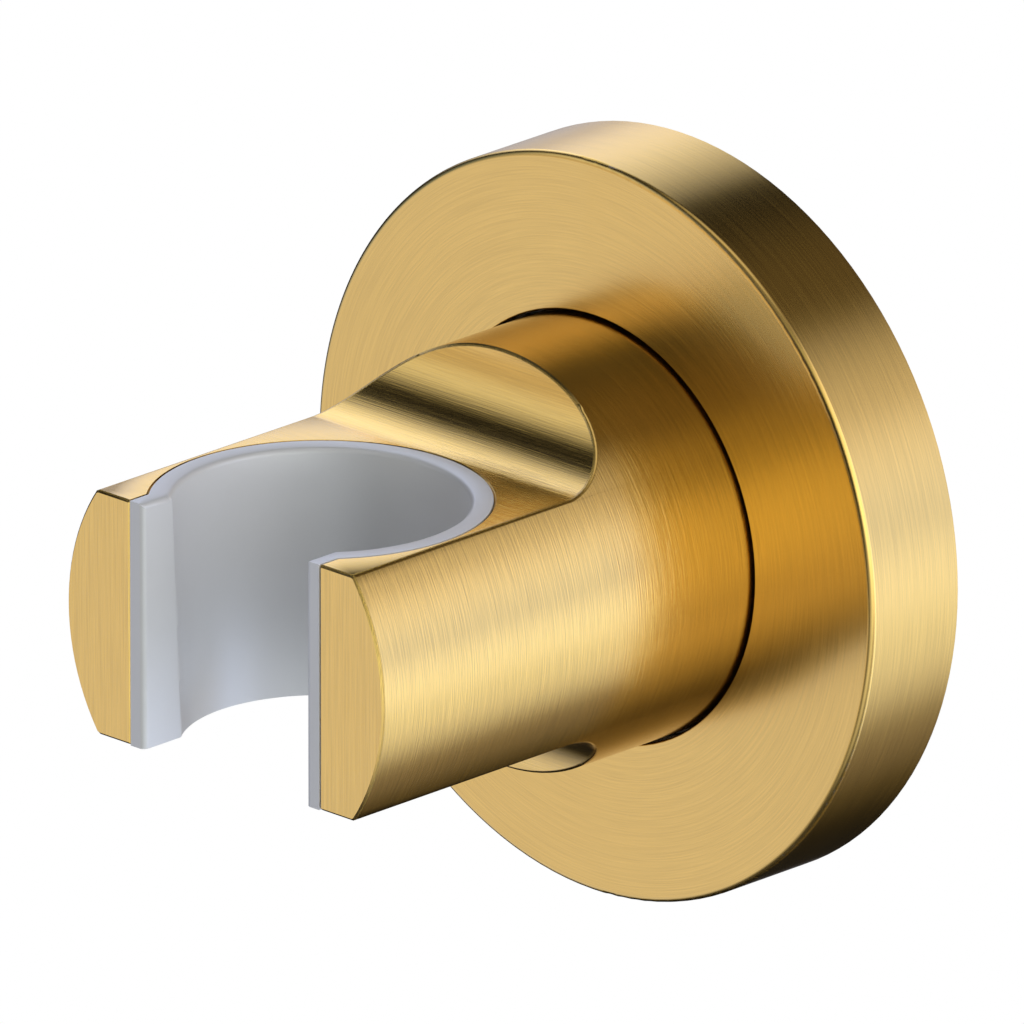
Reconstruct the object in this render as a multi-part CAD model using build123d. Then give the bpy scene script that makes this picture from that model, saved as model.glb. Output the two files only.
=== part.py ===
"""Wall holder for a hand shower: a round rosette with a milled bar arm and a plastic seat liner.

Millimetres, +Z up. The origin is the middle of the rosette's back, on the wall face (y = 0).
The arm stands out along -Y, and the hand shower's cone drops into the seat from above (-Z).
"""
import os

from build123d import *

# Rosette, a turned cup that covers the bracket
rosette_d = 60.0          # outside diameter
rosette_t = 9.5           # from the wall to the face
rosette_face_t = 2.5      # thickness of its face
rosette_rim_t = 3.0       # thickness of its rim
rosette_edge_r = 0.5      # rounding between the face and the rim
rosette_mouth_edge = 0.15  # bevel of the hole round the arm, at the face
shadow_gap = 0.25         # open ring between the arm and the rosette's hole

# Arm, one length of round bar
arm_d = 34.2              # bar diameter
arm_out = 40.3            # from the rosette's face to the end of the prongs
flats_apart = 20.0        # between the flat milled on top and the one below
shoulder = 9.9            # bar left fully round in front of the rosette
scoop_r = 7.1             # radius of the cutter that leaves the scoop
edge_break = 0.2          # bevel of the arm's outer edges
mouth_edge = 0.15         # bevel of the edges that the liner meets

# Seat for the hand shower's cone, lined in plastic
seat_top_d = 23.0         # cone at the top
seat_bottom_d = 21.8      # cone at the bottom
seat_setback = 10.5       # from the end of the prongs to the cone's axis
hose_slot_w = 17.5        # clear width between the lips, for the hose
liner_wall = 1.75         # liner's wall at the top of the cone
lip_t = 1.45              # thickness of its lips
liner_fit = 0.05          # gap between the liner and the metal
liner_lead_in = 0.4       # bevel of its top edge, inside
lip_nose_r = 0.5          # rounding of its lips at the front

# Bracket, a steel disc that is screwed to the wall inside the rosette
bracket_t = 5.0           # plate thickness
bracket_fit = 0.1         # gap between the bracket and the inside of the rim
bracket_edge = 0.4        # bevel round its front edge
spigot_d = 16.0           # boss that centres the arm
spigot_h = 2.0
spigot_fit = 0.1          # gap all round the boss and at its end
wall_hole_d = 4.5         # two of them, midway between the arm and the bracket's edge
wall_sink_d = 8.4         # countersink for a screw head

# Screw that holds the arm, put in from behind the bracket
arm_screw_d = 6.0
arm_screw_head_d = 11.3
arm_screw_len = 18.0
arm_screw_af = 4.0        # hexagon socket, across flats
arm_screw_socket = 2.2    # depth of that socket
arm_screw_sunk = 0.3      # head below the wall face
arm_screw_edge = 0.6      # bevel of its end
screw_hole_fit = 0.2      # play of the screw in the bracket, on the radius
tap_run_out = 2.0         # tapped hole beyond the screw's end

# Pin that keeps the arm from turning
pin_d = 3.0
pin_len = 6.0
pin_inset = 5.1           # from the top of the bar down to the pin's axis
pin_edge = 0.4            # bevel of its ends

# Grub screw that locks the rosette on the bracket, from below
grub_d = 4.0
grub_len = 4.0
grub_sunk = 0.4           # below the rim
grub_af = 2.0             # hexagon socket, across flats
grub_socket = 2.0         # depth of that socket
grub_edge = 0.4           # bevel of its ends

thread_fit = 0.05         # gap that stands for the thread, on the radius
hole_end = 0.2            # free depth at the end of a blind hole

# Worked out from the above
arm_r = arm_d / 2
rosette_r = rosette_d / 2
reach = rosette_t + arm_out
flat_z = flats_apart / 2
seat_y = reach - seat_setback
seat_bore_r = seat_top_d / 2 + liner_wall + liner_fit
slot_in_metal = hose_slot_w + 2 * (lip_t + liner_fit)
bracket_r = rosette_r - rosette_rim_t - bracket_fit
grub_seat_z = rosette_r - grub_sunk - grub_len
wall_hole_apart = arm_r + bracket_r
pin_off = arm_r - pin_inset
pin_in_bracket = pin_len / 2


def at(distance):
    """Plane parallel to the wall at this distance from it, facing the room."""
    return Plane.XZ.offset(distance)


def disc(radius, start, end):
    """Round bar on the holder's axis between two distances from the wall."""
    return extrude(at(start) * Circle(radius), end - start)


def hexagon(across_flats):
    return RegularPolygon(across_flats / 2, 6, major_radius=False)


def upright_prism(plan, low, high):
    """A plan drawn with the seat's axis as its origin and the room along -y, from low to high."""
    return Pos(0, -seat_y, low) * extrude(plan, high - low)


def slot_plan(width):
    """Plan of a slot from the seat's axis to the end of the prongs."""
    return Pos(0, -seat_setback / 2) * Rectangle(width, seat_setback)


def keyhole_plan(radius, width):
    """Plan of a round seat that is open through a slot, cut off flush with the end of the prongs."""
    room = Pos(0, -seat_setback - radius) * Rectangle(4 * radius, 2 * radius)
    return Circle(radius) + slot_plan(width) - room


def flared(radius, width, bevel):
    """Cutter with sides at 45 degrees that bevels the top edges of a seat and its slot."""
    start = Pos(0, -seat_y, flat_z - 2 * bevel)
    plans = [offset(plan, -bevel, kind=Kind.INTERSECTION) for plan in (Circle(radius), slot_plan(width))]
    return [start * extrude(plan, 3 * bevel, taper=-45) for plan in plans]


def rosette():
    cup = disc(rosette_r, 0, rosette_t)
    cup = fillet(cup.edges().group_by(Axis.Y)[0], rosette_edge_r)
    cup -= disc(rosette_r - rosette_rim_t, 0, rosette_t - rosette_face_t)
    cup -= disc(arm_r + shadow_gap, 0, rosette_t)
    mouth = cup.edges().filter_by(GeomType.CIRCLE).group_by(Axis.Y)[0].sort_by(SortBy.RADIUS)[0]
    cup = chamfer(mouth, rosette_mouth_edge)
    grub_hole = Plane.XY.offset(-rosette_r) * Pos(0, -bracket_t / 2) * Circle(grub_d / 2 + thread_fit)
    return cup - extrude(grub_hole, rosette_rim_t + bracket_fit)


def scoop_cutter():
    """Metal milled off above the arm: a flat that runs into a scoop of the cutter's radius."""
    length = arm_out - shoulder
    height = arm_r + scoop_r
    side = Plane.YZ * Pos(-reach + length / 2, flat_z + height / 2) * Rectangle(length, height)
    corner = side.vertices().group_by(Axis.Z)[0].sort_by(Axis.Y)[-1]
    return extrude(fillet(corner, scoop_r), arm_d, both=True)


def milled_bar():
    bar = disc(arm_r, bracket_t, reach)
    cutter = scoop_cutter()
    bar = bar - cutter - mirror(cutter, Plane.XY)
    outline = [edge for edge in bar.edges() if edge.center().Y < -rosette_t]
    return chamfer(outline, edge_break)


def holder_arm():
    arm = milled_bar() - upright_prism(keyhole_plan(seat_bore_r, slot_in_metal), -arm_r, arm_r)
    arm = chamfer(arm.edges().filter_by(Axis.Z).group_by(Axis.Y)[0], mouth_edge)
    for bevel in flared(seat_bore_r, slot_in_metal, mouth_edge):
        arm = arm - bevel - mirror(bevel, Plane.XY)
    arm -= disc(spigot_d / 2 + spigot_fit, bracket_t, bracket_t + spigot_h + spigot_fit)
    arm -= disc(arm_screw_d / 2 + thread_fit, bracket_t, arm_screw_sunk + arm_screw_len + tap_run_out)
    pin_hole = at(bracket_t) * Pos(0, pin_off) * Circle(pin_d / 2 + thread_fit)
    return arm - extrude(pin_hole, pin_len - pin_in_bracket + hole_end)


def liner():
    outer = keyhole_plan(seat_bore_r - liner_fit, slot_in_metal - 2 * liner_fit)
    body = upright_prism(outer, -flat_z, flat_z)
    cone = Pos(0, -seat_y, 0) * Cone(seat_bottom_d / 2, seat_top_d / 2, flats_apart)
    body -= cone + upright_prism(slot_plan(hose_slot_w), -flat_z, flat_z)
    front = body.edges().filter_by(Axis.Z).group_by(Axis.Y)[0]
    body = fillet(front.sort_by(lambda edge: abs(edge.center().X))[:2], lip_nose_r)
    for bevel in flared(seat_top_d / 2, hose_slot_w, liner_lead_in):
        body -= bevel
    return body


def wall_screw_hole():
    """Hole through the bracket with a right-angled countersink on the room's side."""
    depth = (wall_sink_d - wall_hole_d) / 2
    sink = at(bracket_t - depth / 2) * Cone(wall_hole_d / 2, wall_sink_d / 2, depth)
    return disc(wall_hole_d / 2, 0, bracket_t) + sink


def wall_bracket():
    """Disc with a boss for the arm and a flat below, where the grub screw bears."""
    plate = disc(bracket_r, 0, bracket_t)
    plate = chamfer(plate.edges().group_by(Axis.Y)[0], bracket_edge)
    plate += disc(spigot_d / 2, bracket_t, bracket_t + spigot_h)
    plate -= Pos(0, -bracket_t / 2, -grub_seat_z - bracket_r / 2) * Box(2 * bracket_r, bracket_t, bracket_r)
    for side in (-1, 1):
        plate -= Pos(side * wall_hole_apart / 2, 0, 0) * wall_screw_hole()
    plate -= arm_screw_hole()
    pin_hole = at(bracket_t - pin_in_bracket) * Pos(0, pin_off) * Circle(pin_d / 2 + thread_fit)
    return plate - extrude(pin_hole, pin_in_bracket)


def cone_out(start_r, end_r, start):
    """Right-angled cone on the holder's axis that narrows away from the wall."""
    height = start_r - end_r
    return at(start + height / 2) * Cone(start_r, end_r, height)


def arm_screw_hole():
    """Countersunk hole that the screw's head seats in, open to the wall."""
    shank = disc(arm_screw_d / 2 + screw_hole_fit, 0, bracket_t + spigot_h)
    return shank + cone_out(arm_screw_head_d / 2 + arm_screw_sunk, arm_screw_d / 2 + screw_hole_fit, 0)


def arm_screw():
    end = arm_screw_sunk + arm_screw_len
    screw = disc(arm_screw_d / 2, arm_screw_sunk, end)
    screw = chamfer(screw.edges().group_by(Axis.Y)[0], arm_screw_edge)
    screw += cone_out(arm_screw_head_d / 2, arm_screw_d / 2, arm_screw_sunk)
    return screw - extrude(at(arm_screw_sunk) * hexagon(arm_screw_af), arm_screw_socket)


def locating_pin():
    start = bracket_t - pin_in_bracket
    pin = extrude(at(start) * Pos(0, pin_off) * Circle(pin_d / 2), pin_len)
    return chamfer(pin.edges().filter_by(GeomType.CIRCLE), pin_edge)


def grub_screw():
    screw = extrude(Plane.XY.offset(-grub_seat_z - grub_len) * Circle(grub_d / 2), grub_len)
    screw = chamfer(screw.edges().filter_by(GeomType.CIRCLE), grub_edge)
    socket = Plane.XY.offset(-grub_seat_z - grub_len) * hexagon(grub_af)
    return Pos(0, -bracket_t / 2, 0) * (screw - extrude(socket, grub_socket))


parts = {
    "rosette": rosette,
    "holder_arm": holder_arm,
    "liner": liner,
    "wall_bracket": wall_bracket,
    "arm_screw": arm_screw,
    "locating_pin": locating_pin,
    "grub_screw": grub_screw,
}

os.makedirs("parts", exist_ok=True)
for name, make in parts.items():
    export_step(make(), f"parts/{name}.step")
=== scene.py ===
import math

import bpy
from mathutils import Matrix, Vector


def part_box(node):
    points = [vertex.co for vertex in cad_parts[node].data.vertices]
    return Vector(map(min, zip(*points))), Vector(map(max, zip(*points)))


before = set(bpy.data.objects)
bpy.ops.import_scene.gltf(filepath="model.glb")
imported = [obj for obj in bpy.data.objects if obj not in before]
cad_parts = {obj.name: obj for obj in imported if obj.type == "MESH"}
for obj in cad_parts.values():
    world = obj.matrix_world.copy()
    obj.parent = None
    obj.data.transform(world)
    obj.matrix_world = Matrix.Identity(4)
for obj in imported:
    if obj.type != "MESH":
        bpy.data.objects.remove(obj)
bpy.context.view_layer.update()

# Camera: a long lens, above and to the right of the holder
AZIMUTH = math.radians(44.52)
ELEVATION = math.radians(19.94)
DISTANCE = 3.3            # from the middle of the rosette's back
LENS_MM = 1499.5
SENSOR_MM = 36.0
ORIGIN_RIGHT = 0.01290    # the frame's origin lies this far right of the picture's middle
ORIGIN_UP = 0.00113       # and this far above it
CLIP_START = 0.1
CLIP_END = 20.0

# Sizes of the holder, read from the frame
ARM_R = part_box("holder_arm")[1].x
ARM_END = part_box("holder_arm")[0].y
ROSETTE_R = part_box("rosette")[1].x
ROSETTE_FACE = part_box("rosette")[0].y
ROSETTE_EDGE_R = 0.0005   # rounding between its face and its rim, metres

# Colours, linear
GOLD = (0.69, 0.44, 0.105)
GOLD_GRAZING = (0.92, 0.78, 0.5, 1.0)   # tint of the gold where it is seen at a low angle
GREY = (0.615, 0.61, 0.615)
STEEL = (0.5, 0.485, 0.46)
DARK_STEEL = (0.35, 0.34, 0.33)
FLOOR_GREY = (0.8, 0.8, 0.8, 1.0)
WHITE = (1.0, 1.0, 1.0, 1.0)
DIM = (0.01, 0.01, 0.01, 1.0)   # light from all round that fills the shadows

# Shading of the edges
CRISP = math.radians(35.0)         # faces that meet at more than this angle have a sharp edge
OVER_BEVELS = math.radians(50.0)   # the same where a bevel of 45 degrees is shaded round
WELD_REACH = 0.000001              # corners closer than this are one, metres
EVEN_WEIGHT = 50                   # large faces count for the normals as their size says

# Brushing
GROOVE = 0.00008          # width of a groove, metres
GROOVE_DEPTH = 0.00002
BROAD_GRAIN = 0.6         # scale of the broader grooves against the fine ones
GRAIN_SHADE = 0.08        # share by which a groove is darker or lighter
STROKE = 0.0045           # length of a stroke on a flat
TURNED_STROKES = 5.0      # strokes in one radian of a turned surface
MILLED_EDGE = 0.00012     # how far inside the bar a surface has to lie to count as milled

# Texture of the plastic and the steel
PORE_DEPTH = 0.00001      # metres

# Floor below the holder, metres
FLOOR_HALF = 1.5          # half of its width
FLOOR_DEPTH = 3.0         # from the wall's plane towards the room
FLOOR_LEVEL = -1.2

# Softboxes that fade towards their edges, seen from the holder: azimuth from +X towards +Y and
# elevation of the middle, the angle they span, all in degrees, and the light at their middle
SOFTBOXES = (
    (60.0, -60.0, 60.0, (0.26, 0.22, 0.12)),
    (0.0, -30.0, 60.0, (0.21, 0.21, 0.21)),
    (30.0, -30.0, 60.0, (1.99, 2.27, 2.82)),
    (60.0, -30.0, 60.0, (0.27, 0.27, 0.36)),
    (210.0, -30.0, 60.0, (1.01, 1.10, 1.54)),
    (240.0, -30.0, 60.0, (0.52, 0.53, 0.56)),
    (300.0, -30.0, 60.0, (1.04, 1.10, 1.17)),
    (330.0, -30.0, 60.0, (0.65, 0.69, 0.79)),
    (0.0, 0.0, 60.0, (1.95, 1.95, 1.90)),
    (30.0, 0.0, 60.0, (1.67, 1.91, 2.79)),
    (60.0, 0.0, 60.0, (0.02, 0.06, 0.43)),
    (120.0, 0.0, 60.0, (1.44, 1.44, 1.62)),
    (210.0, 0.0, 60.0, (0.23, 0.33, 0.50)),
    (240.0, 0.0, 60.0, (1.08, 0.91, 0.69)),
    (330.0, 0.0, 60.0, (2.07, 2.27, 2.17)),
    (0.0, 30.0, 60.0, (1.70, 1.66, 1.62)),
    (30.0, 30.0, 60.0, (1.56, 1.56, 1.76)),
    (150.0, 30.0, 60.0, (2.07, 2.29, 2.96)),
    (222.0, 27.0, 40.0, (1.05, 1.10, 1.20)),
    (240.0, 30.0, 60.0, (0.20, 0.25, 0.35)),
    (290.0, 45.0, 60.0, (0.30, 0.30, 0.30)),
    (330.0, 30.0, 60.0, (1.11, 1.18, 1.00)),
    (60.0, 60.0, 60.0, (0.20, 0.16, 0.10)),
    (0.0, 85.0, 60.0, (1.10, 1.10, 1.10)),
)

# Sockets of the Mix node for each kind of data: first, second, result
MIX_SOCKETS = {"VECTOR": (4, 5, 1), "RGBA": (6, 7, 2)}


def view_axes():
    """Unit vectors from the holder to the camera, to the picture's right and up it."""
    back = Vector((
        math.sin(AZIMUTH) * math.cos(ELEVATION),
        -math.cos(AZIMUTH) * math.cos(ELEVATION),
        math.sin(ELEVATION),
    ))
    right = Vector((math.cos(AZIMUTH), math.sin(AZIMUTH), 0.0))
    return back, right, back.cross(right)


def turn_back_to(thing, direction):
    """Turns a camera or a light so that its back is towards the direction and its top is up."""
    thing.rotation_mode = "QUATERNION"
    thing.rotation_quaternion = direction.to_track_quat("Z", "Y")


def make_camera():
    back, right, up = view_axes()
    data = bpy.data.cameras.new("camera")
    data.lens = LENS_MM
    data.sensor_width = SENSOR_MM
    data.clip_start = CLIP_START
    data.clip_end = CLIP_END
    camera = bpy.data.objects.new("camera", data)
    bpy.context.scene.collection.objects.link(camera)
    camera.location = back * DISTANCE - right * ORIGIN_RIGHT - up * ORIGIN_UP
    turn_back_to(camera, back)
    bpy.context.scene.camera = camera


def add(tree, kind, inputs=None, **settings):
    """A node with its settings, and its inputs linked to sockets or set to values."""
    made = tree.nodes.new(kind)
    for name, value in settings.items():
        setattr(made, name, value)
    for name, value in (inputs or {}).items():
        if isinstance(value, bpy.types.NodeSocket):
            tree.links.new(value, made.inputs[name])
        else:
            made.inputs[name].default_value = value
    return made


def maths(tree, operation, *values):
    return add(tree, "ShaderNodeMath", dict(enumerate(values)), operation=operation).outputs[0]


def vector_maths(tree, operation, value):
    return add(tree, "ShaderNodeVectorMath", {0: value}, operation=operation)


def vector(tree, x, y, z):
    return add(tree, "ShaderNodeCombineXYZ", {0: x, 1: y, 2: z}).outputs[0]


def mix(tree, kind, share, first, second):
    """first where share is 0, second where it is 1."""
    a, b, result = MIX_SOCKETS[kind]
    made = add(tree, "ShaderNodeMix", {"Factor": share, a: first, b: second}, data_type=kind)
    return made.outputs[result]


def remap(tree, value, source, target=(0.0, 1.0)):
    """The source range carried over straight to the target range, and held at its ends."""
    inputs = {
        "Value": value,
        "From Min": source[0],
        "From Max": source[1],
        "To Min": target[0],
        "To Max": target[1],
    }
    return add(tree, "ShaderNodeMapRange", inputs).outputs[0]


def noise(tree, place, scale, detail):
    inputs = {"Vector": place, "Scale": scale, "Detail": detail}
    return add(tree, "ShaderNodeTexNoise", inputs).outputs["Fac"]


def shades(tree, share, base, dark, light):
    """The base colour times dark where share is 0, and times light where it is 1."""
    first, second = ((*(factor * c for c in base), 1.0) for factor in (dark, light))
    return mix(tree, "RGBA", share, first, second)


def relief(tree, height, strength, depth):
    return add(tree, "ShaderNodeBump", {"Strength": strength, "Distance": depth, "Height": height})


def object_place(tree):
    return add(tree, "ShaderNodeTexCoord").outputs["Object"]


def new_material(name):
    material = bpy.data.materials.new(name)
    material.use_nodes = True
    tree = material.node_tree
    tree.nodes.clear()
    return material, tree


def finish_material(tree, shader):
    add(tree, "ShaderNodeOutputMaterial", {"Surface": shader.outputs[0]})


def by_ray(tree, seen, felt):
    """One shader for what the camera sees directly, and one for all other rays."""
    path = add(tree, "ShaderNodeLightPath")
    inputs = {0: path.outputs["Is Camera Ray"], 1: felt.outputs[0], 2: seen.outputs[0]}
    return add(tree, "ShaderNodeMixShader", inputs)


def round_place(tree):
    """Coordinates, distance from the holder's axis, and cosine and sine of the angle round it."""
    x, y, z = add(tree, "ShaderNodeSeparateXYZ", {0: object_place(tree)}).outputs
    radius = vector_maths(tree, "LENGTH", vector(tree, x, 0.0, z)).outputs["Value"]
    return x, y, z, radius, maths(tree, "DIVIDE", x, radius), maths(tree, "DIVIDE", z, radius)


def rounded_normal(tree):
    """The mesh's normal, but the exact one on the rosette's rounded edge, so no facet shows."""
    _, y, _, radius, cos, sin = round_place(tree)
    out = maths(tree, "SUBTRACT", radius, ROSETTE_R - ROSETTE_EDGE_R)
    fore = maths(tree, "SUBTRACT", y, ROSETTE_FACE + ROSETTE_EDGE_R)
    sideways, upwards = (maths(tree, "MULTIPLY", part, out) for part in (cos, sin))
    exact = vector_maths(tree, "NORMALIZE", vector(tree, sideways, fore, upwards)).outputs[0]
    beyond = maths(tree, "GREATER_THAN", out, 0.0)
    in_front = maths(tree, "LESS_THAN", fore, 0.0)
    on_edge = maths(tree, "MULTIPLY", beyond, in_front)
    own = add(tree, "ShaderNodeNewGeometry").outputs["Normal"]
    return mix(tree, "VECTOR", on_edge, own, exact)


def brushing(tree, milled):
    """Where a point lies in the pattern of strokes, and the direction of the grooves there."""
    x, y, z, radius, cos, sin = round_place(tree)
    # Across the grooves the radius counts on a face, and y on a round side
    across = maths(tree, "DIVIDE", maths(tree, "SUBTRACT", y, radius), GROOVE)
    round_x, round_z = (maths(tree, "MULTIPLY", part, TURNED_STROKES) for part in (cos, sin))
    turned = vector(tree, round_x, round_z, across)
    turned_groove = vector(tree, sin, 0.0, maths(tree, "MULTIPLY", cos, -1.0))
    if not milled:
        return turned, turned_groove
    across_x, across_y, across_z = (maths(tree, "DIVIDE", part, GROOVE) for part in (x, y, z))
    along_x, along_z = (maths(tree, "DIVIDE", part, STROKE) for part in (x, z))
    inside = remap(tree, radius, (ARM_R - MILLED_EDGE, ARM_R - 2 * MILLED_EDGE))
    end = remap(tree, y, (ARM_END + 2 * MILLED_EDGE, ARM_END + MILLED_EDGE))
    flats = mix(tree, "VECTOR", inside, turned, vector(tree, along_x, across_y, across_z))
    strokes = mix(tree, "VECTOR", end, flats, vector(tree, across_x, across_y, along_z))
    x_axis, z_axis = vector(tree, 1.0, 0.0, 0.0), vector(tree, 0.0, 0.0, 1.0)
    flat_groove = mix(tree, "VECTOR", inside, turned_groove, x_axis)
    return strokes, mix(tree, "VECTOR", end, flat_groove, z_axis)


def gold_material(name, milled, strength, roughness):
    """Brushed gold: fine grooves in the bump, the roughness and a little in the colour."""
    material, tree = new_material(name)
    strokes, groove = brushing(tree, milled)
    fine = noise(tree, strokes, 1.0, 2.0)
    broad = noise(tree, strokes, BROAD_GRAIN, 2.0)
    grain = maths(tree, "ADD", fine, broad)
    contrast = remap(tree, grain, (0.75, 1.25))
    bump = relief(tree, grain, strength, GROOVE_DEPTH)
    if not milled:
        tree.links.new(rounded_normal(tree), bump.inputs["Normal"])
    shader = add(
        tree, "ShaderNodeBsdfPrincipled",
        {
            "Base Color": shades(tree, contrast, GOLD, 1 - GRAIN_SHADE, 1 + GRAIN_SHADE),
            "Metallic": 1.0,
            "Roughness": remap(tree, broad, (0.3, 0.7), roughness),
            "Specular Tint": GOLD_GRAZING,
            "Anisotropic": 0.4,
            "Coat Weight": 0.8,
            "Coat Roughness": 0.18,
            "Coat IOR": 1.5,
            "Anisotropic Rotation": 0.25,
            "Tangent": groove,
            "Normal": bump.outputs[0],
        },
    )
    finish_material(tree, shader)
    return material


def plastic_material():
    """Satin grey moulded plastic with a faint moulding texture."""
    material, tree = new_material("grey_plastic")
    place = object_place(tree)
    cloud = noise(tree, place, 400.0, 3.0)
    pores = noise(tree, place, 9000.0, 2.0)
    shader = add(
        tree, "ShaderNodeBsdfPrincipled",
        {
            "Base Color": shades(tree, cloud, GREY, 0.98, 1.02),
            "Roughness": remap(tree, cloud, (0.0, 1.0), (0.42, 0.48)),
            "IOR": 1.6,
            "Coat Weight": 0.7,
            "Coat Roughness": 0.35,
            "Coat IOR": 1.7,
            "Normal": relief(tree, pores, 0.15, PORE_DEPTH).outputs[0],
        },
    )
    finish_material(tree, shader)
    return material


def steel_material(name, base, roughness):
    """Plain steel with faint mottling."""
    material, tree = new_material(name)
    mottle = noise(tree, object_place(tree), 900.0, 4.0)
    shader = add(
        tree, "ShaderNodeBsdfPrincipled",
        {
            "Base Color": shades(tree, mottle, base, 0.92, 1.0),
            "Metallic": 1.0,
            "Roughness": remap(tree, mottle, (0.0, 1.0), roughness),
            "Normal": relief(tree, mottle, 0.2, PORE_DEPTH).outputs[0],
        },
    )
    finish_material(tree, shader)
    return material


def dress(node, material, sharp_angle):
    """Gives a CAD node its material and smooth shading up to the sharp angle."""
    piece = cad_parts[node]
    piece.data.materials.clear()
    piece.data.materials.append(material)
    weld = piece.modifiers.new("weld", "WELD")
    weld.merge_threshold = WELD_REACH
    split = piece.modifiers.new("sharp_edges", "EDGE_SPLIT")
    split.split_angle = sharp_angle
    smooth = piece.modifiers.new("soft_edges", "WEIGHTED_NORMAL")
    smooth.mode = "FACE_AREA_WITH_ANGLE"
    smooth.weight = EVEN_WEIGHT
    smooth.keep_sharp = False


def softbox(azimuth, elevation, span, radiance):
    """A round area light one metre off that faces the holder and fades to nothing at its edge."""
    a, e, half = (math.radians(angle) for angle in (azimuth, elevation, span / 2))
    way = Vector((math.cos(a) * math.cos(e), math.sin(a) * math.cos(e), math.sin(e)))
    data = bpy.data.lights.new("softbox", "AREA")
    data.shape = "DISK"
    data.size = 2 * math.tan(half)
    data.spread = 2 * half
    # The power that gives a radiance of one straight ahead, for this disk and this spread
    data.energy = math.pi ** 2 * math.tan(half) * (math.tan(half) - half)
    data.color = radiance
    light = bpy.data.objects.new("softbox", data)
    bpy.context.scene.collection.objects.link(light)
    light.location = way
    turn_back_to(light, way)
    light.visible_camera = False


def make_lights():
    for panel in SOFTBOXES:
        softbox(*panel)


def make_world():
    world = bpy.data.worlds.new("studio")
    bpy.context.scene.world = world
    world.use_nodes = True
    tree = world.node_tree
    tree.nodes.clear()
    seen, felt = (add(tree, "ShaderNodeBackground", {"Color": c}) for c in (WHITE, DIM))
    add(tree, "ShaderNodeOutputWorld", {"Surface": by_ray(tree, seen, felt).outputs[0]})


def make_floor():
    """Pale floor below the holder, in front of the wall's plane, that looks white to the camera."""
    mesh = bpy.data.meshes.new("floor")
    outline = (
        (-FLOOR_HALF, -FLOOR_DEPTH),
        (FLOOR_HALF, -FLOOR_DEPTH),
        (FLOOR_HALF, 0.0),
        (-FLOOR_HALF, 0.0),
    )
    mesh.from_pydata([(x, y, FLOOR_LEVEL) for x, y in outline], [], [(0, 1, 2, 3)])
    floor = bpy.data.objects.new("floor", mesh)
    bpy.context.scene.collection.objects.link(floor)
    material, tree = new_material("pale_floor")
    seen = add(tree, "ShaderNodeEmission", {"Color": WHITE})
    felt = add(tree, "ShaderNodeBsdfDiffuse", {"Color": FLOOR_GREY})
    finish_material(tree, by_ray(tree, seen, felt))
    mesh.materials.append(material)


def dress_nodes():
    turned_gold = gold_material("turned_gold", False, 0.16, (0.21, 0.26))
    milled_gold = gold_material("milled_gold", True, 0.4, (0.17, 0.22))
    bracket_steel = steel_material("bracket_steel", STEEL, (0.3, 0.45))
    screw_steel = steel_material("screw_steel", DARK_STEEL, (0.25, 0.4))
    dress("rosette", turned_gold, OVER_BEVELS)
    dress("holder_arm", milled_gold, CRISP)
    dress("liner", plastic_material(), OVER_BEVELS)
    dress("wall_bracket", bracket_steel, CRISP)
    for node in ("arm_screw", "locating_pin", "grub_screw"):
        dress(node, screw_steel, CRISP)


make_camera()
make_world()
make_lights()
make_floor()
dress_nodes()

bpy.context.scene.view_settings.view_transform = "Standard"
